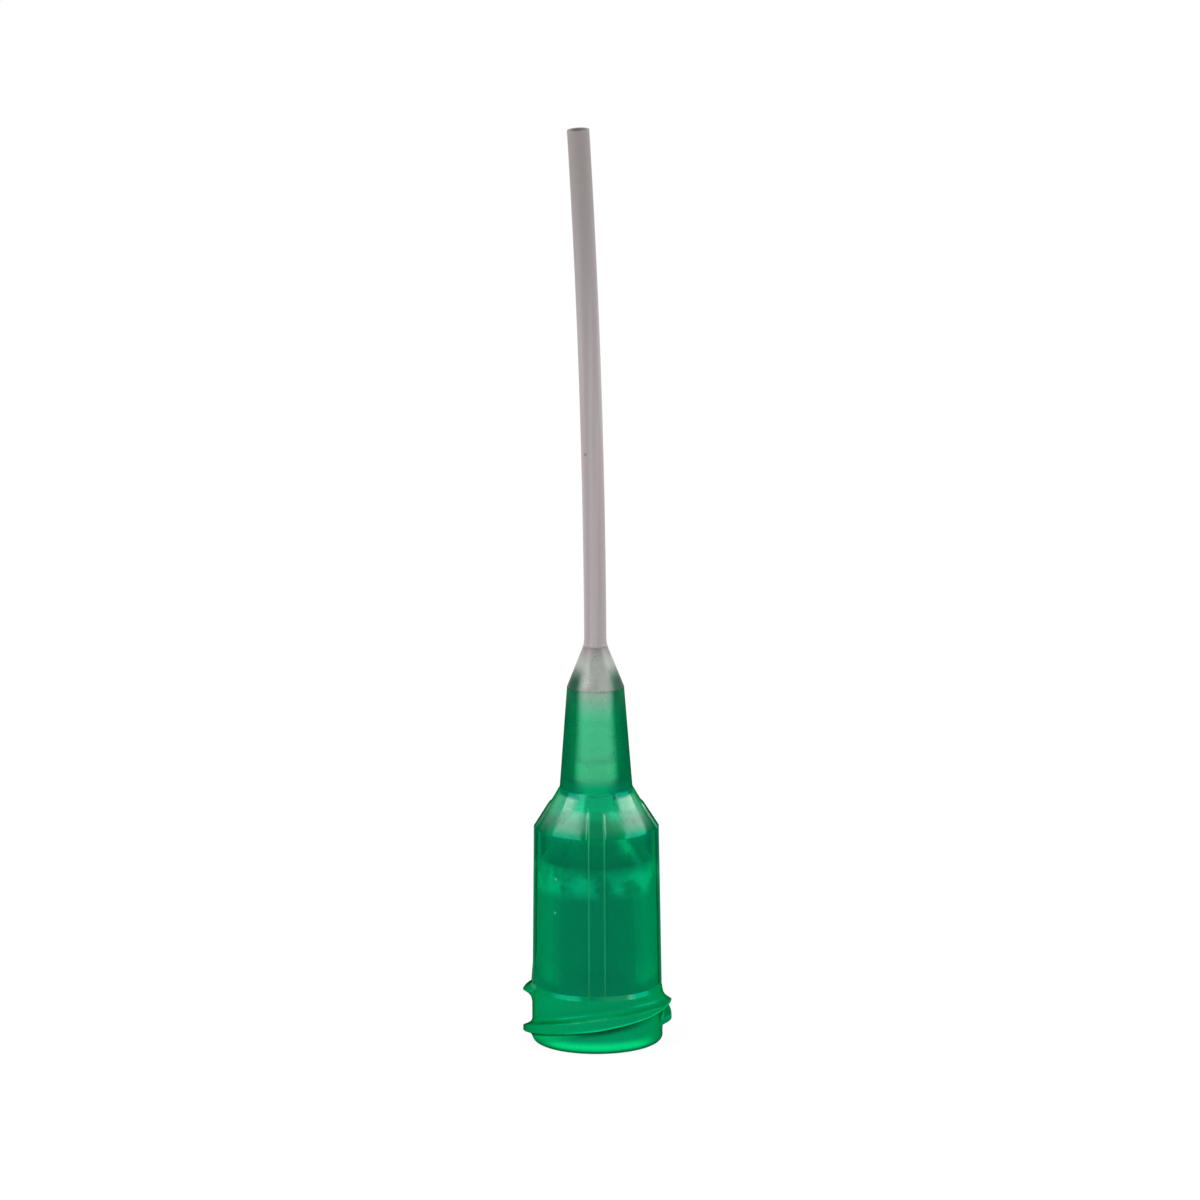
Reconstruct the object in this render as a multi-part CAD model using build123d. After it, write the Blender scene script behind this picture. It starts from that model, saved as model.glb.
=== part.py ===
from build123d import *
import os
from math import cos, pi, sin

# Dispensing needle tip: a moulded lock hub, a flexible tube and the bond that joins them.
# Sizes are in millimetres. The hub stands on its open mouth on the XY plane, with its axis along +Z.
# The front of the object faces -Y, and the free end of the tube leans towards -X.

# Tapered socket and fluid path inside the hub, from the mouth upwards
socket_mouth_diameter = 4.29
socket_taper = 0.06  # loss of diameter for each unit of depth
socket_depth = 9.3
socket_lead_in = 0.12
funnel_length = 2.6
entry_diameter = 1.15
entry_length = 0.6

# Outside of the hub, from the mouth upwards
mouth_diameter = 6.56
mouth_edge_radius = 0.25
thread_zone_height = 2.9
thread_zone_chamfer = 0.08
barrel_foot_diameter = 6.3
barrel_top_diameter = 6.06
barrel_length = 8.1
shoulder_length = 2.1
shoulder_edge_radius = 0.15
neck_foot_diameter = 3.65
neck_top_diameter = 2.86
neck_foot_radius = 0.25
neck_length = 5.16

# Grip ribs along the barrel
rib_count = 4
rib_crest_width = 0.74
rib_side_slope = 0.8  # widening of each side for each unit of depth
rib_top_diameter = 6.28
rib_set_back = 0.03  # from the thread zone, at the foot
rib_reach_on_shoulder = 1.27
rib_height_at_tip = 0.04
rib_root_depth = 0.3

# Two-start lock thread round the mouth
thread_diameter = 7.5
thread_starts = 2
thread_start_angle = 180.0  # where the first ridge begins, in degrees from +X
thread_start_height = 0.62
thread_second_start_lift = 0.55
thread_sweep = 180.0  # degrees of full-height ridge
thread_run_out = 14.0  # degrees of fade past each end
thread_rise = 1.42
ridge_crest_width_at_ends = 0.16
ridge_crest_width_at_middle = 0.62
ridge_foot_width_at_ends = 0.86
ridge_foot_width_at_middle = 1.16
ridge_crest_chamfer = 0.05
ridge_knee_height = 0.12
ridge_knee_share = 0.33  # share of the flank's width that is left at the knee
ridge_root_depth = 0.25
ridge_foot_depth = 0.05
ridge_end_depth = 0.15
ridge_end_share = 0.15  # share of the section that is left where a ridge ends, below the surface
ridge_sections = 21

# Tube
tube_diameter = 1.12
tube_bore = 0.84
tube_bend_radius = 475.0
tube_bowed_length = 26.0

# Seat of the tube in the neck
stop_above_neck_foot = 0.3
pilot_length = 1.05
pilot_clearance = 0.015
bond_gap = 0.12
well_mouth_diameter = 2.66
well_depth = 0.95

# Bond cone on top of the neck
bond_cone_length = 2.1
bond_collar_length = 0.25
bond_collar_wall = 0.04

# Heights that follow from the sizes above
shoulder_height = thread_zone_height + barrel_length
neck_height = shoulder_height + shoulder_length
nose_height = neck_height + neck_length
funnel_top_height = socket_depth + funnel_length
entry_top_height = funnel_top_height + entry_length
stop_height = neck_height + stop_above_neck_foot
bond_foot_height = stop_height + pilot_length
well_foot_height = nose_height - well_depth
cone_top_height = nose_height + bond_cone_length
collar_top_height = cone_top_height + bond_collar_length

# Radii that follow from the sizes above
socket_mouth_radius = socket_mouth_diameter / 2
socket_end_radius = socket_mouth_radius - socket_depth * socket_taper / 2
entry_radius = entry_diameter / 2
mouth_radius = mouth_diameter / 2
barrel_foot_radius = barrel_foot_diameter / 2
barrel_top_radius = barrel_top_diameter / 2
neck_foot_outer_radius = neck_foot_diameter / 2
neck_top_radius = neck_top_diameter / 2
thread_radius = thread_diameter / 2
tube_radius = tube_diameter / 2
bore_radius = tube_bore / 2
pilot_radius = tube_radius + pilot_clearance
bond_radius = tube_radius + bond_gap
well_mouth_radius = well_mouth_diameter / 2
collar_radius = tube_radius + bond_collar_wall


def turned(points):
    """Solid of revolution about Z from (radius, height) points."""
    outline = make_face(Plane.XZ * Polyline(*points, close=True))
    return revolve(outline, Axis.Z)


def ring_edge(solid, radius, height):
    """The circular edge of that radius at that height."""
    rings = solid.edges().filter_by(GeomType.CIRCLE)
    return rings.sort_by(lambda ring: abs(ring.radius - radius) + abs(ring.center().Z - height))[0]


def hub_blank():
    """Turned form of the hub: outside, socket, funnel, passage and stepped seat for the tube."""
    blank = turned([
        (socket_mouth_radius + socket_lead_in, 0),
        (mouth_radius, 0),
        (mouth_radius, thread_zone_height - thread_zone_chamfer),
        (mouth_radius - thread_zone_chamfer, thread_zone_height),
        (barrel_foot_radius, thread_zone_height),
        (barrel_top_radius, shoulder_height),
        (neck_foot_outer_radius, neck_height),
        (neck_top_radius, nose_height),
        (well_mouth_radius, nose_height),
        (bond_radius, well_foot_height),
        (bond_radius, bond_foot_height),
        (pilot_radius, bond_foot_height),
        (pilot_radius, stop_height),
        (bore_radius, stop_height),
        (bore_radius, entry_top_height),
        (entry_radius, entry_top_height),
        (entry_radius, funnel_top_height),
        (socket_end_radius, socket_depth),
        (socket_mouth_radius, socket_lead_in),
    ])
    blank = fillet(ring_edge(blank, mouth_radius, 0), mouth_edge_radius)
    blank = fillet(ring_edge(blank, barrel_top_radius, shoulder_height), shoulder_edge_radius)
    return fillet(ring_edge(blank, neck_foot_outer_radius, neck_height), neck_foot_radius)


def rib_section(body_radius, crest_radius, height):
    """Level section of a rib: a trapezium that is rooted in the wall of the hub."""
    root_radius = body_radius - rib_root_depth
    half_crest = rib_crest_width / 2
    half_root = half_crest + (crest_radius - root_radius) * rib_side_slope
    corners = [(root_radius, -half_root), (crest_radius, -half_crest)]
    corners += [(r, -y) for r, y in reversed(corners)]
    return Pos(0, 0, height) * make_face(Polyline(*corners, close=True))


def grip_rib():
    """Shallow rib, flush with the thread zone at its foot, up the barrel and part of the shoulder."""
    shoulder_slope = (barrel_top_radius - neck_foot_outer_radius) / shoulder_length
    tip_body_radius = barrel_top_radius - shoulder_slope * rib_reach_on_shoulder
    foot_height = thread_zone_height - thread_zone_chamfer
    foot = rib_section(barrel_foot_radius, mouth_radius - rib_set_back, foot_height)
    bend = rib_section(barrel_top_radius, rib_top_diameter / 2, shoulder_height)
    tip_height = shoulder_height + rib_reach_on_shoulder
    tip = rib_section(tip_body_radius, tip_body_radius + rib_height_at_tip, tip_height)
    return loft([foot, bend], ruled=True) + loft([bend, tip], ruled=True)


def ridge_section(share, start_height, start_angle):
    """Radial section of a lock ridge at a share of its sweep, where it climbs and then levels off."""
    climb = sin(pi / 2 * min(share, 1)) if share > 0 else pi / 2 * share
    fullness = sin(pi * min(max(share, 0), 1))
    crest_growth = ridge_crest_width_at_middle - ridge_crest_width_at_ends
    foot_growth = ridge_foot_width_at_middle - ridge_foot_width_at_ends
    half_crest = (ridge_crest_width_at_ends + crest_growth * fullness) / 2
    half_foot = (ridge_foot_width_at_ends + foot_growth * fullness) / 2
    half_knee = half_crest + (half_foot - half_crest) * ridge_knee_share
    crest_height = thread_radius - mouth_radius
    past_end = max(-share, share - 1, 0) * thread_sweep / thread_run_out
    kept = ridge_end_share + (1 - ridge_end_share) * cos(pi / 2 * past_end)
    upper = [
        (-ridge_foot_depth, half_foot),
        (ridge_knee_height, half_knee),
        (crest_height - ridge_crest_chamfer, half_crest),
        (crest_height, half_crest - ridge_crest_chamfer),
    ]
    upper = [((r + ridge_end_depth) * kept - ridge_end_depth, z) for r, z in upper]
    upper.insert(0, (-ridge_root_depth, half_foot))
    profile = upper + [(r, -z) for r, z in reversed(upper)]
    middle = start_height + thread_rise * climb
    corners = [(mouth_radius + r, 0, middle + z) for r, z in profile]
    return Rot(0, 0, start_angle + share * thread_sweep) * make_face(Polyline(*corners, close=True))


def lock_ridge(start_height, start_angle):
    """One ridge of the lock thread, as a loft through radial sections."""
    margin = thread_run_out / thread_sweep
    step = (1 + 2 * margin) / (ridge_sections - 1)
    shares = [i * step - margin for i in range(ridge_sections)]
    return loft([ridge_section(share, start_height, start_angle) for share in shares])


def lock_hub():
    hub = hub_blank()
    for i in range(rib_count):
        hub += Rot(0, 0, 360 / rib_count * i) * grip_rib()
    for i in range(thread_starts):
        start_height = thread_start_height + thread_second_start_lift * i
        hub += lock_ridge(start_height, thread_start_angle + 360 / thread_starts * i)
    return hub


def needle_tube():
    """Flexible tube: straight inside the hub, then bowed to one side over its free length."""
    bend_angle = tube_bowed_length / tube_bend_radius * 180 / pi
    straight = Line((0, 0, stop_height), (0, 0, collar_top_height))
    bow = Plane.XZ * JernArc((0, collar_top_height), (0, 1), tube_bend_radius, bend_angle)
    section = Pos(0, 0, stop_height) * (Circle(tube_radius) - Circle(bore_radius))
    return sweep(section, Wire([*straight.edges(), *bow.edges()]))


def bond_cone():
    """Cured bond: a sleeve round the tube in the neck, the fill of the well and a cone above it."""
    return turned([
        (tube_radius, bond_foot_height),
        (bond_radius, bond_foot_height),
        (bond_radius, well_foot_height),
        (well_mouth_radius, nose_height),
        (neck_top_radius, nose_height),
        (collar_radius, cone_top_height),
        (collar_radius, collar_top_height),
        (tube_radius, collar_top_height),
    ])


os.makedirs("parts", exist_ok=True)
for build_piece in (lock_hub, needle_tube, bond_cone):
    export_step(build_piece(), f"parts/{build_piece.__name__}.step")
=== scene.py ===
import bpy
import numpy as np
from math import cos, degrees, pi, radians, sin, tan
from mathutils import Matrix, Vector


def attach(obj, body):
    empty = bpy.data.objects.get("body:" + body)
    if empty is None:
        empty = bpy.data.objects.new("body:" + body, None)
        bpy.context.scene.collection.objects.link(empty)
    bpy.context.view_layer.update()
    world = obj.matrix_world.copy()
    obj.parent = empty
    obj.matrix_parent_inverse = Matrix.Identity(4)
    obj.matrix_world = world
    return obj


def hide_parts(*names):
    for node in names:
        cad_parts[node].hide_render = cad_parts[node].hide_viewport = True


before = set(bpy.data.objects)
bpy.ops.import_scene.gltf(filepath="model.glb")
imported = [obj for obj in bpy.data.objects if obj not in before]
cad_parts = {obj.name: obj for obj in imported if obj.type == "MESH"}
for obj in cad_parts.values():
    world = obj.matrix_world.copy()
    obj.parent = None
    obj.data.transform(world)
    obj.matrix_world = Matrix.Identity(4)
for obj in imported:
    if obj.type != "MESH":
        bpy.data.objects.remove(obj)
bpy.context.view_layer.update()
mm = 0.001
slack = 0.01  # mm, for comparing heights
scene = bpy.context.scene
print("frame loaded:", ", ".join(sorted(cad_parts)))


# mesh helpers, in millimetres

def addMesh(name, points, faces):
    mesh = bpy.data.meshes.new(name)
    mesh.from_pydata((np.asarray(points) * mm).tolist(), [], faces)
    mesh.update()
    mesh.shade_smooth()
    piece = bpy.data.objects.new(name, mesh)
    scene.collection.objects.link(piece)
    return piece


def loopFaces(rowCount, columnCount):
    # rows close on themselves, columns too: the skin of a ring
    faces = []
    for row in range(rowCount):
        here, above = row * columnCount, (row + 1) % rowCount * columnCount
        for column in range(columnCount):
            beside = (column + 1) % columnCount
            faces.append((here + column, here + beside, above + beside, above + column))
    return faces


def roundedLoop(corners, arcPieces):
    # corners are (radius, height, fillet, spacing of the run to the next corner)
    flat = pi - 0.01  # a bend past this is no corner
    rounded = []
    count = len(corners)
    for i, (radius, height, fillet, spacing) in enumerate(corners):
        here = Vector((radius, height))
        before = (Vector(corners[i - 1][:2]) - here).normalized()
        after = (Vector(corners[(i + 1) % count][:2]) - here).normalized()
        bend = before.angle(after)
        if fillet <= 0 or bend > flat:
            rounded.append(([here], spacing))
            continue
        reach = fillet / tan(bend / 2)
        middle = here + (before + after).normalized() * (fillet / sin(bend / 2))
        first, last = here + before * reach - middle, here + after * reach - middle
        turn = first.angle_signed(last)
        arc = []
        for k in range(arcPieces + 1):
            swing = -turn * k / arcPieces
            arc.append(middle + Vector((first.x * cos(swing) - first.y * sin(swing),
                                        first.x * sin(swing) + first.y * cos(swing))))
        rounded.append((arc, spacing))
    points = []
    for i, (arc, spacing) in enumerate(rounded):
        points += arc
        start, end = arc[-1], rounded[(i + 1) % count][0][0]
        pieces = max(1, round((end - start).length / spacing))
        points += [start.lerp(end, k / pieces) for k in range(1, pieces)]
    return np.array([(p.x, p.y) for p in points])


def softMax(a, b, blend):
    # the larger of two radii, with a fillet where they meet
    return np.maximum(a, b) + np.maximum(blend - np.abs(a - b), 0) ** 2 / (4 * blend)


def nearestRow(profile, radius, height):
    return int(np.argmin(np.hypot(profile[:, 0] - radius, profile[:, 1] - height)))


def setSlots(piece, slots, columnCount):
    piece.data.polygons.foreach_set("material_index", np.repeat(slots, columnCount).astype(np.int32))


# hub: moulded in one, on a fine grid of angles and profile points

hub = {
    "mouth": 3.28, "mouthEdge": 0.25, "threadZone": 2.74, "ledge": 2.98,
    "barrelFoot": 3.15, "barrelTop": 3.03, "shoulder": 11.0,
    "neck": 13.1, "neckFoot": 1.825, "neckTop": 1.43, "nose": 18.26,
    "wellMouth": 1.33, "well": 17.31, "seat": 0.68, "seatFoot": 14.45, "pilot": 0.575, "stop": 13.4,
    "bore": 0.42, "entry": 0.575, "entryTop": 12.5, "funnelTop": 11.9, "lip": 0.2,
    "socketEnd": 9.3, "socketEndRadius": 1.866, "socketMouth": 2.145, "leadIn": 0.12,
    "coarse": 1.0, "fine": 0.036, "angles": 336, "arcPieces": 5, "noseRows": 3,
}
ribs = {
    "count": 4, "halfCrest": 0.37, "slope": 0.8, "reach": 0.5, "belowLedge": 0.08,
    "foot": 3.25, "bend": 3.14, "tip": 2.341, "tipHeight": 12.27, "fillet": 0.03,
    "edge": 7.2, "edgeWidth": 1.1, "sideFrom": 5.9, "sideTo": 8.4, "sideSteps": 9,  # degrees off the middle
}
thread = {
    "crest": 3.741, "starts": ((180.0, 0.62), (0.0, 1.17)),  # angle and height
    "sweep": 180.0, "runOut": 14.0, "rise": 1.42, "endShare": 0.15, "sink": 0.15,
    "shares": (0.0, 0.25, 0.5, 0.75, 0.9, 1.0),  # of the sweep, for the two rows of widths
    "crestWidths": (0.3, 0.52, 0.62, 0.4, 0.1, 0.02), "footWidths": (0.95, 1.1, 1.16, 1.16, 1.2, 1.25),
    "knee": (0.12, 0.33), "chamfer": 0.03, "fillet": 0.09, "root": -0.05, "skirt": (0.3, -0.25),
}
ridgeMarks = {  # shares of the sweep and strengths there, then widths
    # these place a painted highlight along the lower crest edge and where the ridge begins, painted shade on
    # the flank below the crest, and a glint along its upper edge
    "edge": ((0.3, 0.5, 0.9, 1.0), (0, 1, 1, 0)), "start": ((-0.06, 0.0, 0.25, 0.42), (0, 0.9, 0.9, 0)),
    "underShade": ((0.35, 0.5, 0.6, 0.85), (0, 1, 1, 0)), "crestGlint": ((0.36, 0.42, 0.54, 0.6), (0, 1, 1, 0)),
    "lineWidth": 0.08, "edgeCore": 1.3, "edgeLift": 0.02, "streakCore": 1.2,
    "flankGap": 0.05, "flankFade": 0.05, "flankPast": 0.15, "flankEnd": 0.2,
}


def hubProfile():
    h = hub
    coarse, fine = h["coarse"], h["fine"]
    flare = (h["socketEndRadius"] - h["entry"]) / (h["funnelTop"] - h["socketEnd"])
    return roundedLoop([
        (h["socketMouth"] + h["leadIn"], 0, 0.03, 0.4),
        (h["mouth"], 0, h["mouthEdge"], fine),
        (h["mouth"], h["threadZone"], 0.04, 0.05),
        (h["barrelFoot"], h["ledge"], 0.06, coarse),
        (h["barrelTop"], h["shoulder"], 0.15, 0.2),
        (h["neckFoot"], h["neck"], 0.25, 0.8),
        (h["neckTop"], h["nose"], 0.03, 0.1),
        (h["wellMouth"], h["nose"], 0.03, 0.3),
        (h["seat"], h["well"], 0, 0.8),
        (h["seat"], h["seatFoot"], 0.04, 0.1),
        (h["pilot"], h["seatFoot"], 0.03, 0.5),
        (h["pilot"], h["stop"], 0.04, 0.1),
        (h["bore"], h["stop"], 0.03, 0.5),
        (h["bore"], h["entryTop"], 0.03, 0.1),
        (h["entry"], h["entryTop"], 0.06, 0.2),
        (h["entry"], h["funnelTop"], 0.06, 0.4),
        (h["entry"] + h["lip"] * flare, h["funnelTop"] - h["lip"], 0, coarse),
        (h["socketEndRadius"], h["socketEnd"], 0.12, coarse),
        (h["socketMouth"], h["leadIn"], 0.05, 0.1),
    ], h["arcPieces"])


def hubAngles():
    # even steps, with closer ones where the sides of the grip ribs lie
    angles = set(np.round(np.arange(hub["angles"]) * 360 / hub["angles"], 4))
    closer = np.linspace(ribs["sideFrom"], ribs["sideTo"], ribs["sideSteps"])
    for i in range(ribs["count"]):
        for side in (-1, 1):
            angles |= set(np.round((360 / ribs["count"] * i + side * closer) % 360, 4))
    return np.radians(sorted(angles))


def offRib(angles):
    # angle to the middle of the nearest rib
    pitch = 2 * pi / ribs["count"]
    return np.abs((angles + pitch / 2) % pitch - pitch / 2)


def ribRadius(angles, heights):
    off = offRib(angles)[None, :]
    foot = hub["ledge"] - ribs["belowLedge"]
    crest = np.interp(heights, [foot, hub["shoulder"], ribs["tipHeight"]],
                      [ribs["foot"], ribs["bend"], ribs["tip"]])[:, None]
    side = (crest + ribs["halfCrest"] / ribs["slope"]) / (1 + np.tan(off) / ribs["slope"])
    radius = np.where(off < ribs["reach"], np.minimum(crest, side) / np.cos(off), 0)
    kept = (heights > foot) & (heights < ribs["tipHeight"] + slack)
    return np.where(kept[:, None], radius, 0)


def ridgeAt(angle, startAngle, startHeight):
    # share of the sweep, height of the middle and half widths of one lock ridge at one angle
    t = thread
    share = ((degrees(angle) - startAngle + t["runOut"]) % 360 - t["runOut"]) / t["sweep"]
    climb = sin(pi / 2 * min(share, 1)) if share > 0 else pi / 2 * share
    halfCrest = np.interp(share, t["shares"], t["crestWidths"]) / 2
    halfFoot = np.interp(share, t["shares"], t["footWidths"]) / 2
    return share, startHeight + t["rise"] * climb, halfCrest, halfFoot


def ridgeRadius(angle, heights, ridgeStart):
    # it climbs, levels off and sinks into the wall past its ends
    t = thread
    share, middle, halfCrest, halfFoot = ridgeAt(angle, *ridgeStart)
    if share > 1 + t["runOut"] / t["sweep"]:
        return np.zeros_like(heights)
    chamfer = min(t["chamfer"], halfCrest / 2)
    kneeRise, kneeShare = t["knee"]
    skirtWidth, skirtRise = t["skirt"]
    halfKnee = halfCrest + (halfFoot - halfCrest) * kneeShare
    top = t["crest"] - hub["mouth"]
    past = max(-share, share - 1, 0) * t["sweep"] / t["runOut"]
    kept = t["endShare"] + (1 - t["endShare"]) * cos(pi / 2 * past)
    outline = np.array([(0, top), (halfCrest - chamfer, top), (halfCrest, top - chamfer),
                        (halfKnee, kneeRise), (halfFoot, t["root"]), (halfFoot + skirtWidth, skirtRise)])
    for _ in range(2):  # cut the corners twice for round edges and a hollow root
        cut = [outline[0]]
        for a, b in zip(outline[:-1], outline[1:]):
            cut += [a * 0.75 + b * 0.25, a * 0.25 + b * 0.75]
        outline = np.array(cut + [outline[-1]])
    reach = np.abs(heights - middle)
    rise = np.interp(reach, outline[:, 0], outline[:, 1])
    radius = hub["mouth"] + (rise + t["sink"]) * kept - t["sink"]
    return np.where(reach < outline[-1, 0], radius, 0)


def ridgeMasks(angle, heights, ridgeStart):
    # a painted highlight along the lower edge of the crest, painted shade on the flank below it and a pale
    # glint along the upper edge
    m = ridgeMarks
    share, middle, halfCrest, halfFoot = ridgeAt(angle, *ridgeStart)
    below = middle - heights
    edge = np.clip(m["edgeCore"] - np.abs(below - halfCrest + m["edgeLift"]) / m["lineWidth"], 0, 1)
    flank = np.clip((below - halfCrest - m["flankGap"]) / m["flankFade"], 0, 1)
    flank = flank * np.clip((halfFoot + m["flankPast"] - below) / m["flankEnd"], 0, 1)
    crestGlint = np.clip(m["streakCore"] - np.abs(below + halfCrest) / m["lineWidth"], 0, 1)
    start = flank * np.interp(share, *m["start"])  # painted highlight on the flank too where the ridge begins
    return (np.maximum(edge * np.interp(share, *m["edge"]), start), flank * np.interp(share, *m["underShade"]),
            crestGlint * np.interp(share, *m["crestGlint"]))


def buildHub():
    profile = hubProfile()
    angles = hubAngles()
    heights = profile[:, 1]
    radius = np.repeat(profile[:, :1], len(angles), axis=1)
    peak = nearestRow(profile, hub["neckTop"], hub["nose"])
    mouthRow = nearestRow(profile, hub["mouth"], hub["mouthEdge"]) - hub["arcPieces"]
    outside = slice(mouthRow, peak)
    radius[outside] = softMax(radius[outside], ribRadius(angles, heights[outside]), ribs["fillet"])
    names = ("outside", "flank", "crest", "edge", "underShade", "crestGlint")
    masks = {name: np.zeros(radius.shape, np.float32) for name in names}
    for ridgeStart in thread["starts"]:
        ridge = np.stack([ridgeRadius(a, heights[outside], ridgeStart) for a in angles], axis=1)
        radius[outside] = softMax(radius[outside], ridge, thread["fillet"])
        # ridge masks: painted highlight, painted shade and glint
        for column, a in enumerate(angles):
            for name, values in zip(("edge", "underShade", "crestGlint"), ridgeMasks(a, heights[outside], ridgeStart)):
                masks[name][outside, column] = np.maximum(masks[name][outside, column], values)
    points = np.stack([radius * np.cos(angles), radius * np.sin(angles),
                       np.repeat(heights[:, None], len(angles), axis=1)], axis=2)
    piece = addMesh("lockHub", points.reshape(-1, 3), loopFaces(len(profile), len(angles)))
    # the outside, and the sides and crests of the ribs; the sides carry a painted highlight
    masks["outside"][mouthRow:peak + hub["noseRows"]] = 1
    off = np.degrees(offRib(angles))
    ribbed = (heights[outside] > hub["ledge"]) & (heights[outside] < ribs["tipHeight"])
    flank = np.clip(1 - np.abs(off - ribs["edge"]) / ribs["edgeWidth"], 0, 1)
    masks["flank"][outside] = flank[None, :] * ribbed[:, None]
    masks["crest"][outside] = np.clip((ribs["edge"] - off) / ribs["edgeWidth"], 0, 1)[None, :]
    for name, values in masks.items():
        piece.data.attributes.new(name, "FLOAT", "POINT").data.foreach_set("value", values.ravel())
    # slots: 0 plastic, 1 thread, 2 neck, 3 passage
    threaded = (np.arange(len(profile)) < peak) & (heights < hub["ledge"])
    slots = np.where(heights > hub["neck"], 2, np.where(threaded, 1, 0))
    passage = (heights > hub["funnelTop"] - hub["lip"] + slack) & (heights < hub["seatFoot"] - slack)
    slots[(profile[:, 0] < hub["entry"] + hub["lip"]) & passage] = 3
    setSlots(piece, slots, len(angles))
    return piece


hubPiece = buildHub()
print("hub:", len(hubPiece.data.polygons), "faces")


# tube: straight in the neck, then bowed to the left over its free length

tube = {
    "radius": 0.56, "bore": 0.42, "foot": 13.4, "bend": 20.61, "bowRadius": 475.0, "bowLength": 26.0,
    "edge": 0.03, "sides": 72, "arcPieces": 4,
}


def alongTube(run):
    # middle point and sideways direction of the tube at a run from its foot
    straight = tube["bend"] - tube["foot"]
    if run <= straight:
        return np.array((0, 0, tube["foot"] + run)), np.array((1.0, 0, 0))
    turn = (run - straight) / tube["bowRadius"]
    place = (-tube["bowRadius"] * (1 - cos(turn)), 0, tube["bend"] + tube["bowRadius"] * sin(turn))
    return np.array(place), np.array((cos(turn), 0, sin(turn)))


def buildTube():
    length = tube["bend"] - tube["foot"] + tube["bowLength"]
    section = roundedLoop([
        (tube["bore"], 0, 0, 0.1),
        (tube["radius"], 0, 0, 0.4),
        (tube["radius"], length, tube["edge"], 0.1),
        (tube["bore"], length, tube["edge"], 0.8),
    ], tube["arcPieces"])
    angles = np.arange(tube["sides"]) * 2 * pi / tube["sides"]
    toBack = np.array((0, 1.0, 0))
    points = []
    for radius, run in section:
        middle, across = alongTube(run)
        points += [middle + radius * (cos(a) * across + sin(a) * toBack) for a in angles]
    return addMesh("needleTube", points, loopFaces(len(section), len(angles)))


tubePiece = buildTube()
print("tube:", len(tubePiece.data.polygons), "faces")


# bond: fills the well, laps a hair into the hub and the tube so that no air film shows between them

bond = {
    "lap": 0.015, "sleeve": 0.68, "foot": 14.45, "well": 17.31, "wellMouth": 1.33, "nose": 18.26,
    "coneFoot": 1.43, "coneTop": 20.36, "collar": 0.595, "collarTop": 20.85, "collarBend": 1.2,
    "core": 0.665, "coreTop": 19.7, "coreRim": 0.564, "lapFoot": 20.41, "rim": 0.02,
    "sides": 128, "arcPieces": 8,
}


def buildBond():
    b = bond
    inner = tube["radius"] - b["lap"]
    section = roundedLoop([
        (b["core"], b["foot"] + b["lap"], 0, 0.1),
        (b["core"], b["foot"], 0, 0.1),
        (b["sleeve"] + b["lap"], b["foot"], 0, 0.5),
        (b["sleeve"] + b["lap"], b["well"], 0, 0.3),
        (b["wellMouth"] + b["lap"], b["nose"] - b["lap"], 0, 0.1),
        (b["coneFoot"], b["nose"] - b["lap"], b["rim"], 0.15),
        (b["collar"], b["coneTop"], b["collarBend"], 0.1),
        (inner, b["collarTop"], 0, 0.1),
        (inner, b["lapFoot"], 0, 0.1),
        (b["coreRim"], b["coneTop"], 0, 0.3),
        (b["core"], b["coreTop"], 0, 0.5),
    ], b["arcPieces"])
    heights = section[:, 1]
    angles = np.arange(b["sides"]) * 2 * pi / b["sides"]
    points = [(r * cos(a), r * sin(a), z) for r, z in section for a in angles]
    piece = addMesh("bondCone", points, loopFaces(len(section), len(angles)))
    # slots: 0 clear cone, 1 milky in the well and round the tube, 2 like the tube where the collar ends
    top = int(np.argmax(heights))  # past the top the loop runs down round the tube
    row = np.arange(len(section))
    seat = (heights < b["nose"] - b["lap"] - slack) & (row < top)
    slots = np.where((row >= top) | seat, 1, np.where(heights > b["coneTop"] - b["rim"], 2, 0))
    setSlots(piece, slots, len(angles))
    return piece


bondPiece = buildBond()
print("bond:", len(bondPiece.data.polygons), "faces")


# shared effects, as node groups

perMetre = 1000.0  # object places are in metres, the values in millimetres


def newGroup(name, inputs, outputs):
    # an input with no value of its own is a place, a vector
    group = bpy.data.node_groups.new(name, "ShaderNodeTree")
    for label, value in inputs.items():
        kind = "NodeSocketVector" if value is None else "NodeSocketFloat"
        socket = group.interface.new_socket(label, in_out="INPUT", socket_type=kind)
        if value is not None:
            socket.default_value = value
    for label in outputs:
        group.interface.new_socket(label, in_out="OUTPUT", socket_type="NodeSocketFloat")
    return group, group.nodes.new("NodeGroupInput").outputs, group.nodes.new("NodeGroupOutput").inputs


def addNode(tree, kind, **settings):
    node = tree.nodes.new(kind)
    for name, value in settings.items():
        setattr(node, name, value)
    return node


def feed(tree, value, socket):
    # a number or a colour is set, anything else is linked
    if isinstance(value, (int, float, tuple)):
        socket.default_value = value
    else:
        tree.links.new(value, socket)


def mathNode(tree, operation, first, second=0.0):
    node = addNode(tree, "ShaderNodeMath", operation=operation)
    feed(tree, first, node.inputs[0])
    feed(tree, second, node.inputs[1])
    return node.outputs[0]


def multiply(tree, first, second):
    return mathNode(tree, "MULTIPLY", first, second)


def without(tree, whole, share):
    return mathNode(tree, "SUBTRACT", whole, multiply(tree, whole, share))


def noiseAt(tree, place, scale, detail):
    noise = addNode(tree, "ShaderNodeTexNoise")
    feed(tree, place, noise.inputs["Vector"])
    feed(tree, scale, noise.inputs["Scale"])
    feed(tree, detail, noise.inputs["Detail"])
    return noise.outputs["Fac"]


def softStep(tree, value, low, high):
    step = addNode(tree, "ShaderNodeMapRange", interpolation_type="SMOOTHSTEP")
    feed(tree, value, step.inputs["Value"])
    feed(tree, low, step.inputs["From Min"])
    feed(tree, high, step.inputs["From Max"])
    return step.outputs["Result"]


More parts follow.
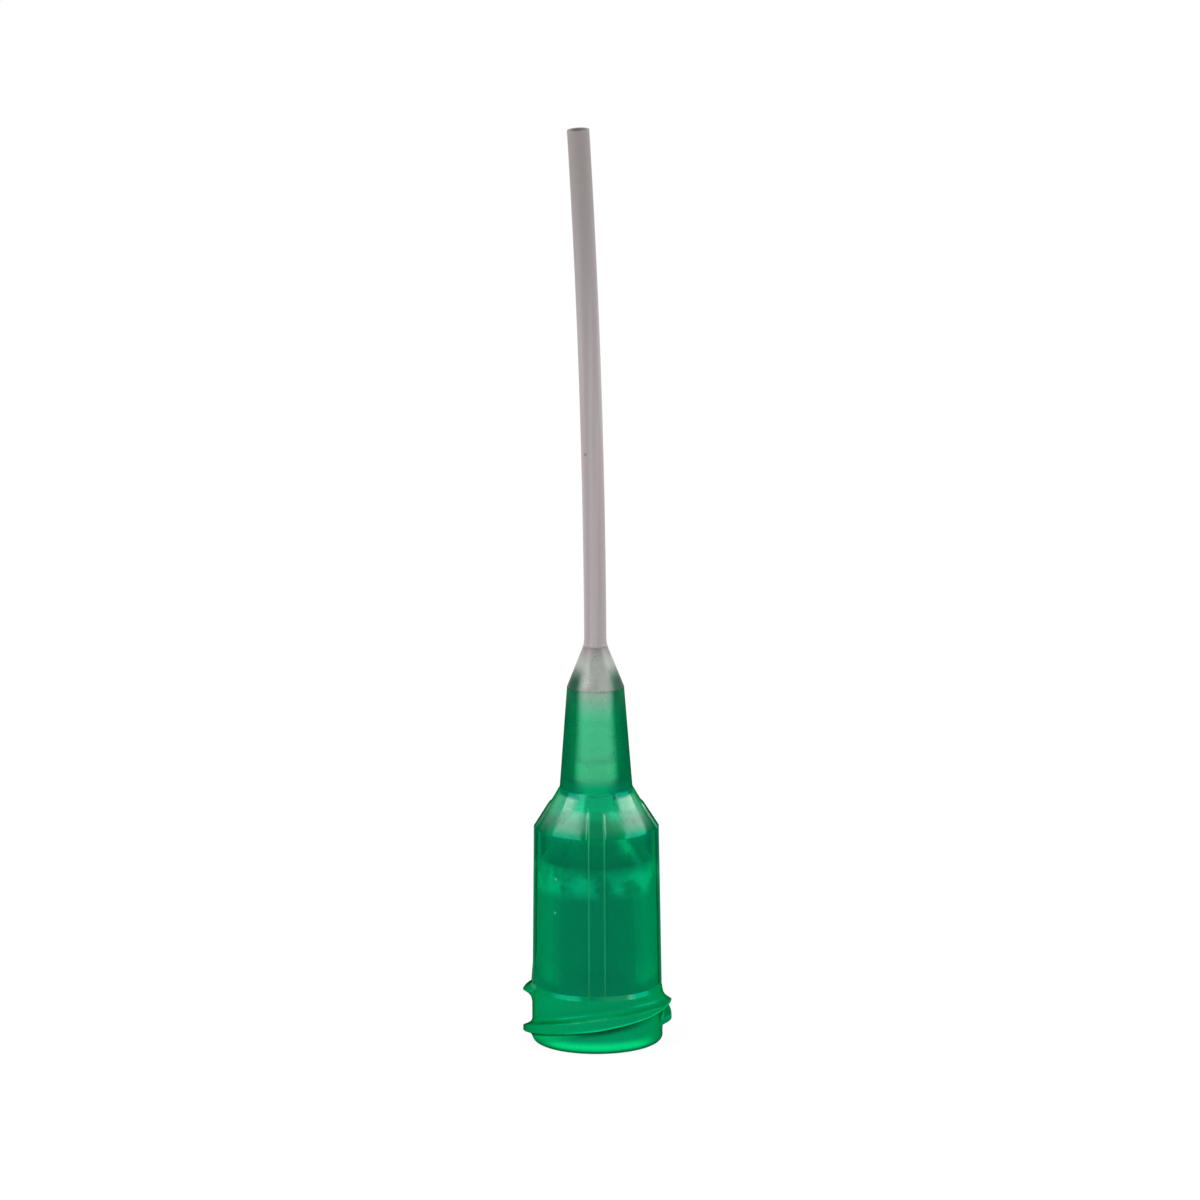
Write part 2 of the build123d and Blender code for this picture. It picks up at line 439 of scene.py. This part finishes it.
def mixValue(tree, mask, start, end):
    mix = addNode(tree, "ShaderNodeMix", data_type="FLOAT")
    feed(tree, mask, mix.inputs["Factor"])
    feed(tree, start, mix.inputs["A"])
    feed(tree, end, mix.inputs["B"])
    return mix.outputs["Result"]


def mixColor(tree, mask, start, end):
    mix = addNode(tree, "ShaderNodeMix", data_type="RGBA")
    feed(tree, mask, mix.inputs[0])
    feed(tree, start, mix.inputs[6])  # the colour sockets share their names with others
    feed(tree, end, mix.inputs[7])
    return mix.outputs[2]


def moulding():
    # slow waves of the tool's polish and a fine grain, as a height and a roughness
    tree, given, result = newGroup("mouldingGrain", {
        "Place": None, "Wave Scale": 900.0, "Grain Scale": 14000.0, "Grain Share": 0.25,
        "Roughness Low": 0.05, "Roughness High": 0.12,
    }, ("Height", "Roughness"))
    waveDetail, grainDetail = 2.0, 3.0
    usualLow, usualHigh = 0.3, 0.7  # where most of the noise lies
    wave = noiseAt(tree, given["Place"], given["Wave Scale"], waveDetail)
    grain = noiseAt(tree, given["Place"], given["Grain Scale"], grainDetail)
    height = mixValue(tree, given["Grain Share"], wave, grain)
    feed(tree, height, result["Height"])
    spread = addNode(tree, "ShaderNodeMapRange")
    feed(tree, height, spread.inputs["Value"])
    feed(tree, usualLow, spread.inputs["From Min"])
    feed(tree, usualHigh, spread.inputs["From Max"])
    feed(tree, given["Roughness Low"], spread.inputs["To Min"])
    feed(tree, given["Roughness High"], spread.inputs["To Max"])
    feed(tree, spread.outputs["Result"], result["Roughness"])
    return tree


def heightBand():
    # one between two heights and within a radius, fading out over the feather, all in millimetres
    tree, given, result = newGroup("heightBand", {
        "Place": None, "Low": 0.0, "High": 1.0, "Feather": 0.1, "Within": 10.0,
    }, ("Mask",))
    split = addNode(tree, "ShaderNodeSeparateXYZ")
    feed(tree, given["Place"], split.inputs[0])
    x, y, z = split.outputs
    square = mathNode(tree, "ADD", multiply(tree, x, x), multiply(tree, y, y))
    radius = multiply(tree, mathNode(tree, "SQRT", square), perMetre)
    height = multiply(tree, z, perMetre)
    steps = []
    for value, limit in ((height, given["Low"]), (height, given["High"]), (radius, given["Within"])):
        low = mathNode(tree, "SUBTRACT", limit, given["Feather"])
        high = mathNode(tree, "ADD", limit, given["Feather"])
        steps.append(softStep(tree, value, low, high))
    above, over, outside = steps
    inside = multiply(tree, above, mathNode(tree, "SUBTRACT", 1.0, over))
    inside = multiply(tree, inside, mathNode(tree, "SUBTRACT", 1.0, outside))
    feed(tree, inside, result["Mask"])
    return tree


def cloudyPatches():
    # soft cloudy patches, as a mask
    tree, given, result = newGroup("cloudyPatches", {
        "Place": None, "Scale": 700.0, "From": 0.45, "To": 0.65,
    }, ("Mask",))
    detail = 3.0
    noise = noiseAt(tree, given["Place"], given["Scale"], detail)
    feed(tree, softStep(tree, noise, given["From"], given["To"]), result["Mask"])
    return tree


def smallSpot():
    # one at a point, nought past a radius, in millimetres
    tree, given, result = newGroup("smallSpot", {"Place": None, "Middle": None, "Radius": 0.1}, ("Mask",))
    scaled = addNode(tree, "ShaderNodeVectorMath", operation="SCALE")
    feed(tree, given["Place"], scaled.inputs[0])
    feed(tree, perMetre, scaled.inputs["Scale"])
    gap = addNode(tree, "ShaderNodeVectorMath", operation="DISTANCE")
    feed(tree, scaled.outputs["Vector"], gap.inputs[0])
    feed(tree, given["Middle"], gap.inputs[1])
    share = mathNode(tree, "DIVIDE", gap.outputs["Value"], given["Radius"])
    feed(tree, mathNode(tree, "MAXIMUM", mathNode(tree, "SUBTRACT", 1.0, share), 0.0), result["Mask"])
    return tree


mouldingGroup = moulding()
spotGroup = smallSpot()
marksGroup = cloudyPatches()
bandGroup = heightBand()
print("node groups built")


# what the materials share

def newMaterial(name):
    material = bpy.data.materials.new(name)
    material.use_nodes = True
    return material, material.node_tree, material.node_tree.nodes["Principled BSDF"]


def objectPlace(tree):
    return addNode(tree, "ShaderNodeTexCoord").outputs["Object"]


def placeGroup(tree, group, place, values):
    node = addNode(tree, "ShaderNodeGroup", node_tree=group)
    feed(tree, place, node.inputs["Place"])
    for label, value in values.items():
        node.inputs[label].default_value = value
    return node.outputs


def grainMap(tree, place, low, high):
    return placeGroup(tree, mouldingGroup, place, {"Roughness Low": low, "Roughness High": high})


def band(tree, place, low, high, feather, within=10.0):
    values = {"Low": low, "High": high, "Feather": feather, "Within": within}
    return placeGroup(tree, bandGroup, place, values)["Mask"]


def marksMask(tree, place, values):
    return placeGroup(tree, marksGroup, place, values)["Mask"]


def spotMask(tree, place, middle, radius):
    return placeGroup(tree, spotGroup, place, {"Middle": middle, "Radius": radius})["Mask"]


def meshMask(tree, name):
    return addNode(tree, "ShaderNodeAttribute", attribute_name=name).outputs["Fac"]


def sideMask(tree, low, high):
    # nought where a face looks at the eye, one where it turns away
    facing = addNode(tree, "ShaderNodeLayerWeight")
    return softStep(tree, facing.outputs["Facing"], low, high)


def addBump(tree, shader, height, strength, distance):
    bump = addNode(tree, "ShaderNodeBump")
    feed(tree, strength, bump.inputs["Strength"])
    feed(tree, distance, bump.inputs["Distance"])
    feed(tree, height, bump.inputs["Height"])
    feed(tree, bump.outputs["Normal"], shader.inputs["Normal"])


def absorbInside(tree, color, density):
    absorb = addNode(tree, "ShaderNodeVolumeAbsorption")
    feed(tree, color, absorb.inputs["Color"])
    feed(tree, density, absorb.inputs["Density"])
    feed(tree, absorb.outputs["Volume"], tree.nodes["Material Output"].inputs["Volume"])


# green plastic of the hub: bands are low, high, feather and widest radius, in millimetres

greenPlastic = {
    # flank is a painted highlight along the sides of the ribs
    "wall": (0.05, 0.48, 0.27, 1), "flank": (0.06, 0.9, 0.55, 1),
    # painted light: the wall grows lighter towards the bottom
    "wallFootGlow": (0.03, 0.75, 0.36, 1), "wallFootGlowBand": (-1.0, 3.6, 1.4),
    # painted shade: a darker band below the shoulder
    "underShoulderShade": (0.04, 0.34, 0.20, 1), "underShoulderShadeBand": (9.45, 10.9, 0.25),
    # painted light: lighter at the top of the shoulder
    "shoulderTopLight": (0.06, 0.8, 0.47, 1), "shoulderTopLightBand": (11.9, 14.0, 0.2),
    "shoulderFrom": (11.4, 16.0, 0.4), "shoulderTo": (5.0, 12.85, 0.12),
    # wayOut is a painted light: the back faces at the top are pale so the dark ring seen through them
    # lightens
    "topBand": (12.25, 14.0, 0.1), "wayOut": (0.3, 1, 0.8, 1),
    "socket": (0.02, 0.36, 0.29, 1), "funnel": (0.10, 0.7, 0.5, 1), "funnelBand": (9.6, 14.0, 0.3),
    # cup is a painted light: the inner cup is pale so it shows bright
    "cup": (0.3, 0.98, 0.85, 1), "cupBand": (11.7, 14.0, 0.1, 0.75),
    # lighter cloudy patches on the wall and the socket between 8.1 and 9.2 mm
    "marks": {"From": 0.42, "To": 0.58}, "wallPatches": (0.06, 0.98, 0.62, 1), "wallPatchesBand": (8.1, 9.2, 0.4),
    "socketPatches": (0.1, 0.98, 0.8, 1), "socketPatchesBand": (8.1, 9.2, 0.5),
    "specks": (((-2.05, -2.3, 8.86), 0.12), ((-2.1, -2.27, 7.12), 0.1)), "speckColor": (0.3, 1, 0.75, 1),
    "see": 0.82, "ior": 1.49, "absorb": (0.0, 0.70, 0.56, 1.0), "density": 250.0,
    "socketFrost": 0.3, "shoulderFrost": 0.25, "topFrost": 0.1, "wayOutFrost": 0.6, "polish": (0.05, 0.12),
    "skin": (0.03, 0.82, 0.64, 1), "skinOnShoulder": 0.05, "skinOnFlank": 0.8, "skinOnCrest": 0.86,
    "skinOnTop": 0.9, "shoulderSide": (0.4, 0.75), "topSide": (0.1, 0.22),
    "speckle": 0.4, "speckleMarks": {"Scale": 9000.0, "From": 0.5, "To": 0.62},
    "bumpStrength": 0.25, "bumpDistance": 0.00002,
}


def dye(tree, shader):
    # tinted skin with no gloss of its own, and the colour in the depth
    g = greenPlastic
    shader.inputs["IOR"].default_value = g["ior"]
    shader.inputs["Coat IOR"].default_value = 1.0
    shader.inputs["Coat Tint"].default_value = g["skin"]
    absorbInside(tree, g["absorb"], g["density"])


def makeGreen():
    g = greenPlastic
    material, tree, shader = newMaterial("greenPlastic")
    place = objectPlace(tree)
    polish = grainMap(tree, place, *g["polish"])
    outside, flank = meshMask(tree, "outside"), meshMask(tree, "flank")
    marks = marksMask(tree, place, g["marks"])
    shoulder = multiply(tree, band(tree, place, *g["shoulderFrom"]), band(tree, place, *g["shoulderTo"]))
    top = band(tree, place, *g["topBand"])
    wayOut = multiply(tree, top, addNode(tree, "ShaderNodeNewGeometry").outputs["Backfacing"])
    specks = mathNode(tree, "MAXIMUM", *(spotMask(tree, place, *speck) for speck in g["specks"]))
    wall = g["wall"]
    # painted light lower down and at the top of the shoulder, painted shade in a band below the shoulder
    for name in ("wallFootGlow", "underShoulderShade", "shoulderTopLight"):
        wall = mixColor(tree, band(tree, place, *g[name + "Band"]), wall, g[name])
    # painted light on the back faces at the top
    wall = mixColor(tree, wayOut, wall, g["wayOut"])
    wall = mixColor(tree, multiply(tree, marks, band(tree, place, *g["wallPatchesBand"])), wall, g["wallPatches"])
    wall = mixColor(tree, specks, wall, g["speckColor"])
    # painted highlight along the sides of the ribs
    wall = mixColor(tree, flank, wall, g["flank"])
    marked = multiply(tree, marks, band(tree, place, *g["socketPatchesBand"]))
    inner = mixColor(tree, marked, g["socket"], g["socketPatches"])
    # the cup's paleness is a painted light
    for name in ("funnel", "cup"):
        inner = mixColor(tree, band(tree, place, *g[name + "Band"]), inner, g[name])
    feed(tree, mixColor(tree, outside, inner, wall), shader.inputs["Base Color"])
    shader.inputs["Transmission Weight"].default_value = g["see"]
    rough = mixValue(tree, shoulder, polish["Roughness"], g["shoulderFrost"])
    rough = mixValue(tree, top, rough, g["topFrost"])
    rough = mixValue(tree, wayOut, rough, g["wayOutFrost"])
    feed(tree, mixValue(tree, outside, g["socketFrost"], rough), shader.inputs["Roughness"])
    # the skin dyes what the surface mirrors, least on the shoulder
    onShoulder = mixValue(tree, sideMask(tree, *g["shoulderSide"]), g["skinOnShoulder"], 1.0)
    dyed = mixValue(tree, shoulder, 1.0, onShoulder)
    speckle = multiply(tree, marksMask(tree, place, g["speckleMarks"]), g["speckle"])
    dyed = mathNode(tree, "MAXIMUM", dyed, speckle)
    dyed = mathNode(tree, "MAXIMUM", dyed, multiply(tree, meshMask(tree, "crest"), g["skinOnCrest"]))
    dyed = mixValue(tree, flank, dyed, g["skinOnFlank"])
    dyed = mixValue(tree, without(tree, top, sideMask(tree, *g["topSide"])), dyed, g["skinOnTop"])
    dyed = mixValue(tree, wayOut, dyed, 0.0)
    dyed = without(tree, dyed, specks)
    feed(tree, multiply(tree, dyed, outside), shader.inputs["Coat Weight"])
    addBump(tree, shader, polish["Height"], g["bumpStrength"], g["bumpDistance"])
    dye(tree, shader)
    return material


greenNeck = {
    # side is a painted shade on the neck's sides as they turn from the eye
    "color": (0.17, 0.9, 0.52, 1), "side": (0.0, 0.165, 0.055, 1), "sideFrom": (0.07, 0.27),
    "nose": (0.9, 0.95, 0.88, 1), "noseBand": (17.6, 19.0, 1.0),
    # foot is a painted light: the neck's foot is lighter to lift the dark ring there
    "foot": (0.08, 1, 0.6, 1), "footBand": (12.0, 13.6, 0.3), "footFrost": 0.5, "footShade": 0.5,
    "see": 0.84, "frost": (0.22, 0.34),
    "skin": 0.4, "skinOnNose": 0.0, "skinOnSide": 1.0, "skinOnNoseSide": 0.85, "skinOnFoot": 1.0,
}


def makeNeck():
    n = greenNeck
    material, tree, shader = newMaterial("greenNeck")
    place = objectPlace(tree)
    frost = grainMap(tree, place, *n["frost"])
    outside = meshMask(tree, "outside")
    side = sideMask(tree, *n["sideFrom"])
    nose = band(tree, place, *n["noseBand"])
    foot = band(tree, place, *n["footBand"])
    # painted light at the neck's foot
    color = mixColor(tree, foot, mixColor(tree, nose, n["color"], n["nose"]), n["foot"])
    # painted shade: the neck's sides darken as they turn from the eye, half as much at the foot
    shade = multiply(tree, side, mixValue(tree, foot, 1.0, n["footShade"]))
    color = mixColor(tree, multiply(tree, shade, outside), color, n["side"])
    feed(tree, color, shader.inputs["Base Color"])
    shader.inputs["Transmission Weight"].default_value = n["see"]
    feed(tree, mixValue(tree, foot, frost["Roughness"], n["footFrost"]), shader.inputs["Roughness"])
    front = mixValue(tree, nose, n["skin"], n["skinOnNose"])
    dyed = mixValue(tree, side, front, mixValue(tree, nose, n["skinOnSide"], n["skinOnNoseSide"]))
    dyed = mixValue(tree, foot, dyed, n["skinOnFoot"])
    feed(tree, multiply(tree, dyed, outside), shader.inputs["Coat Weight"])
    addBump(tree, shader, frost["Height"], greenPlastic["bumpStrength"], greenPlastic["bumpDistance"])
    dye(tree, shader)
    return material


greenThread = {
    # edge is a painted highlight along the ridge's lower crest edge; the dark colour beside it is a painted
    # shade below the ridge
    "color": (0.003, 0.37, 0.155, 1), "edge": (0.006, 0.95, 0.45, 1), "underShade": (0.0, 0.11, 0.038, 1),
    # rim is a painted light: the bottom of the thread zone is paler where it faces the eye
    "rim": (0.004, 0.97, 0.36, 1), "rimGlowBand": (-1.0, 0.55, 0.2), "rimGlowSide": (0.2, 0.6),
    "foot": (0.003, 0.16, 0.07, 1), "footBand": (-1.0, 0.18, 0.13), "ledge": (0.003, 0.33, 0.14, 1),
    "ledgeBand": (hub["threadZone"], hub["ledge"] + 0.1, 0.03, hub["mouth"] + 0.04), "ledgeFrost": 0.16,
    "see": 0.35, "frost": (0.24, 0.36), "skinOnStreaks": 0.6,
    "streaks": {"Scale": 420.0, "From": 0.5, "To": 0.6},
    "glints": {"Scale": 2600.0, "From": 0.35, "To": 0.55},
}


def makeThread():
    t = greenThread
    material, tree, shader = newMaterial("greenThread")
    place = objectPlace(tree)
    frost = grainMap(tree, place, *t["frost"])
    ledge = band(tree, place, *t["ledgeBand"])
    # painted light at the bottom of the thread zone, palest where it faces the eye
    rim = mixColor(tree, sideMask(tree, *t["rimGlowSide"]), t["rim"], t["color"])
    color = mixColor(tree, band(tree, place, *t["rimGlowBand"]), t["color"], rim)
    color = mixColor(tree, band(tree, place, *t["footBand"]), color, t["foot"])
    color = mixColor(tree, ledge, color, t["ledge"])
    # painted shade below the ridge, then a painted highlight along its lower crest edge
    for name in ("underShade", "edge"):
        color = mixColor(tree, meshMask(tree, name), color, t[name])
    feed(tree, color, shader.inputs["Base Color"])
    shader.inputs["Transmission Weight"].default_value = t["see"]
    feed(tree, mixValue(tree, ledge, frost["Roughness"], t["ledgeFrost"]), shader.inputs["Roughness"])
    streaks = multiply(tree, ledge, marksMask(tree, place, t["streaks"]))
    # a glint placed along the upper crest edge: the skin is thinned there so the lamps' reflection shows
    # paler
    glints = multiply(tree, meshMask(tree, "crestGlint"), marksMask(tree, place, t["glints"]))
    bare = mathNode(tree, "MAXIMUM", streaks, glints)
    feed(tree, mixValue(tree, bare, 1.0, t["skinOnStreaks"]), shader.inputs["Coat Weight"])
    addBump(tree, shader, frost["Height"], greenPlastic["bumpStrength"], greenPlastic["bumpDistance"])
    dye(tree, shader)
    return material


palePassage = {
    "color": (0.55, 0.95, 0.78, 1), "streaks": (0.45, 0.9, 0.68, 1), "streakMarks": {"Scale": 2500.0},
    "cup": (0.62, 0.9, 0.78, 1), "cupBand": (11.0, hub["entryTop"] + 0.02, 0.02), "frost": (0.5, 0.7),
}


def makePassage():
    m = palePassage
    material, tree, shader = newMaterial("palePassage")
    place = objectPlace(tree)
    # painted light: the passage walls are pale so the cup and bore show bright through the shoulder
    color = mixColor(tree, marksMask(tree, place, m["streakMarks"]), m["color"], m["streaks"])
    color = mixColor(tree, band(tree, place, *m["cupBand"]), color, m["cup"])
    feed(tree, color, shader.inputs["Base Color"])
    feed(tree, grainMap(tree, place, *m["frost"])["Roughness"], shader.inputs["Roughness"])
    return material


naturalPlastic = {
    "color": (0.295, 0.262, 0.266, 1), "lines": (0.25, 0.214, 0.222, 1), "lineStretch": 0.01,
    "lineMarks": {"Scale": 3500.0, "From": 0.4, "To": 0.65},
    "tip": (0.20, 0.178, 0.175, 1), "tipBand": (39.0, 60.0, 7.0),
    "wet": (0.85, 0.86, 0.83, 1), "wetBand": (13.0, 17.0, 0.4),
    "scuff": ((-0.45, -0.43, 30.2), 0.12), "scuffColor": (0.1, 0.08, 0.08, 1),
    "ior": 1.45, "frost": (0.32, 0.45), "bumpStrength": 0.2, "bumpDistance": 0.00001,
}


def makeNatural():
    n = naturalPlastic
    material, tree, shader = newMaterial("naturalPlastic")
    place = objectPlace(tree)
    frost = grainMap(tree, place, *n["frost"])
    stretch = addNode(tree, "ShaderNodeMapping")
    stretch.inputs["Scale"].default_value = (1, 1, n["lineStretch"])
    feed(tree, place, stretch.inputs["Vector"])
    lines = marksMask(tree, stretch.outputs["Vector"], n["lineMarks"])
    color = mixColor(tree, lines, n["color"], n["lines"])
    for name in ("tip", "wet"):
        color = mixColor(tree, band(tree, place, *n[name + "Band"]), color, n[name])
    color = mixColor(tree, spotMask(tree, place, *n["scuff"]), color, n["scuffColor"])
    feed(tree, color, shader.inputs["Base Color"])
    shader.inputs["IOR"].default_value = n["ior"]
    feed(tree, frost["Roughness"], shader.inputs["Roughness"])
    addBump(tree, shader, frost["Height"], n["bumpStrength"], n["bumpDistance"])
    return material


clearBond = {
    "color": (0.52, 0.56, 0.51, 1), "clouds": (0.45, 0.48, 0.44, 1), "cloudMarks": {"Scale": 1800.0},
    # foot is a painted shade: the cone's foot darkens on the sides that turn from the eye
    "foot": (0.005, 0.07, 0.04, 1), "footBand": (17.9, 19.1, 0.5), "footSide": (0.08, 0.3),
    "top": (0.33, 0.30, 0.30, 1), "topBand": (19.95, 22.0, 0.5),
    "skin": (0.03, 0.75, 0.5, 1), "skinOnFoot": 0.5,
    "see": 0.6, "ior": 1.49, "frost": (0.25, 0.36), "absorb": (0.45, 0.62, 0.5, 1), "density": 200.0,
}


def makeBond():
    c = clearBond
    material, tree, shader = newMaterial("clearBond")
    place = objectPlace(tree)
    # painted shade on the cone's foot, on the sides turning from the eye
    foot = multiply(tree, sideMask(tree, *c["footSide"]), band(tree, place, *c["footBand"]))
    color = mixColor(tree, marksMask(tree, place, c["cloudMarks"]), c["color"], c["clouds"])
    color = mixColor(tree, band(tree, place, *c["topBand"]), color, c["top"])
    feed(tree, mixColor(tree, foot, color, c["foot"]), shader.inputs["Base Color"])
    shader.inputs["Transmission Weight"].default_value = c["see"]
    shader.inputs["IOR"].default_value = c["ior"]
    shader.inputs["Coat IOR"].default_value = 1.0
    shader.inputs["Coat Tint"].default_value = c["skin"]
    feed(tree, multiply(tree, foot, c["skinOnFoot"]), shader.inputs["Coat Weight"])
    feed(tree, grainMap(tree, place, *c["frost"])["Roughness"], shader.inputs["Roughness"])
    absorbInside(tree, c["absorb"], c["density"])
    return material


milkyBond = {
    "color": (0.95, 0.96, 0.93, 1), "clouds": (0.86, 0.88, 0.85, 1), "cloudMarks": {"Scale": 1800.0},
    "cone": (0.62, 0.61, 0.59, 1), "coneBand": (18.5, 22.0, 0.5), "frost": (0.5, 0.7), "gloss": 0.1,
}


def makeMilky():
    m = milkyBond
    material, tree, shader = newMaterial("milkyBond")
    place = objectPlace(tree)
    color = mixColor(tree, marksMask(tree, place, m["cloudMarks"]), m["color"], m["clouds"])
    color = mixColor(tree, band(tree, place, *m["coneBand"]), color, m["cone"])
    feed(tree, color, shader.inputs["Base Color"])
    shader.inputs["Specular IOR Level"].default_value = m["gloss"]
    feed(tree, grainMap(tree, place, *m["frost"])["Roughness"], shader.inputs["Roughness"])
    return material


naturalMaterial = makeNatural()
finishes = (
    (hubPiece, [makeGreen(), makeThread(), makeNeck(), makePassage()]),
    (tubePiece, [naturalMaterial]),
    (bondPiece, [makeBond(), makeMilky(), naturalMaterial]),
)
for piece, materials in finishes:
    for material in materials:
        piece.data.materials.append(material)
print("materials set")

standIns = (
    (hubPiece, "lock_hub", "green_plastic"),
    (tubePiece, "needle_tube", "natural_plastic"),
    (bondPiece, "bond_cone", "clear_bond"),
)
for piece, node, slot in standIns:
    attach(piece, "root")
    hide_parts(node)
print("pieces ride on the frame")


# floor, light and camera

stage = {
    "floorRadius": 900.0, "floorSides": 96, "floorDrop": 0.01, "floorColor": (0.92, 0.92, 0.92, 1),
    "whiteShare": 0.92, "worldLevel": 0.9, "ceilingFrom": (0.2, 0.5), "ceilingLevel": 0.4,
}


def seenDirectly(tree):
    # one for rays from the camera, a mirror or a lens, nought for the rest
    path = addNode(tree, "ShaderNodeLightPath")
    either = mathNode(tree, "MAXIMUM", path.outputs["Is Camera Ray"], path.outputs["Is Glossy Ray"])
    return mathNode(tree, "MAXIMUM", either, path.outputs["Is Transmission Ray"])


def buildFloor():
    ring = np.arange(stage["floorSides"]) * 2 * pi / stage["floorSides"]
    points = [(stage["floorRadius"] * cos(a), stage["floorRadius"] * sin(a), 0) for a in ring]
    floor = addMesh("floor", points, [tuple(range(len(ring)))])
    floor.location.z = -stage["floorDrop"] * mm
    material, tree, shader = newMaterial("paleFloor")
    shader.inputs["Base Color"].default_value = stage["floorColor"]
    shader.inputs["Roughness"].default_value = 1.0
    shader.inputs["Specular IOR Level"].default_value = 0.0
    glow = addNode(tree, "ShaderNodeEmission")
    mix = addNode(tree, "ShaderNodeMixShader")
    feed(tree, multiply(tree, seenDirectly(tree), stage["whiteShare"]), mix.inputs["Fac"])
    feed(tree, shader.outputs["BSDF"], mix.inputs[1])
    feed(tree, glow.outputs["Emission"], mix.inputs[2])
    feed(tree, mix.outputs["Shader"], tree.nodes["Material Output"].inputs["Surface"])
    floor.data.materials.append(material)


def buildWorld():
    # white all round, with a darker ceiling for what the gloss mirrors
    world = bpy.data.worlds.new("paleRoom")
    world.use_nodes = True
    scene.world = world
    tree = world.node_tree
    background = tree.nodes["Background"]
    background.inputs["Color"].default_value = (1, 1, 1, 1)
    split = addNode(tree, "ShaderNodeSeparateXYZ")
    feed(tree, addNode(tree, "ShaderNodeTexCoord").outputs["Generated"], split.inputs[0])
    ceiling = softStep(tree, split.outputs["Z"], *stage["ceilingFrom"])
    glossy = addNode(tree, "ShaderNodeLightPath").outputs["Is Glossy Ray"]
    walls = mixValue(tree, multiply(tree, ceiling, glossy), 1.0, stage["ceilingLevel"])
    level = mixValue(tree, seenDirectly(tree), stage["worldLevel"], walls)
    feed(tree, level, background.inputs["Strength"])


softBoxes = {
    "distance": 330.0, "width": 340.0, "height": 120.0, "aim": 14.0, "watts": 0.7,
    "places": (("softBoxLeft", -70.0, 37.0), ("softBoxRight", 96.0, 29.0)),  # turn and lift in degrees
}


def buildLights():
    s = softBoxes
    for name, angle, rise in s["places"]:
        lamp = bpy.data.lights.new(name, "AREA")
        lamp.shape = "RECTANGLE"
        lamp.size, lamp.size_y = s["width"] * mm, s["height"] * mm
        lamp.energy = s["watts"]
        light = bpy.data.objects.new(name, lamp)
        scene.collection.objects.link(light)
        turn, lift = radians(angle), radians(rise)
        way = Vector((sin(turn) * cos(lift), -cos(turn) * cos(lift), sin(lift)))
        light.location = Vector((0, 0, s["aim"] * mm)) + way * s["distance"] * mm
        light.rotation_euler = way.to_track_quat("Z", "Y").to_euler()


view = {
    "aim": (0.2475, 0.0, 22.67), "lift": 12.9, "distance": 600.0, "field": 60.0, "roll": -0.317,
    "sensor": 36.0, "clip": (0.01, 10.0),
}


def buildCamera():
    v = view
    data = bpy.data.cameras.new("camera")
    data.sensor_width = v["sensor"]
    data.lens = v["sensor"] * v["distance"] / v["field"]
    data.clip_start, data.clip_end = v["clip"]
    camera = bpy.data.objects.new("camera", data)
    scene.collection.objects.link(camera)
    lift = radians(v["lift"])
    way = Vector((0, -cos(lift), sin(lift)))
    camera.location = (Vector(v["aim"]) + way * v["distance"]) * mm
    turn = way.to_track_quat("Z", "Y").to_matrix() @ Matrix.Rotation(radians(v["roll"]), 3, "Z")
    camera.rotation_euler = turn.to_euler()
    scene.camera = camera


buildFloor()
buildWorld()
buildLights()
buildCamera()
scene.view_settings.view_transform = "Standard"
print("stage ready")
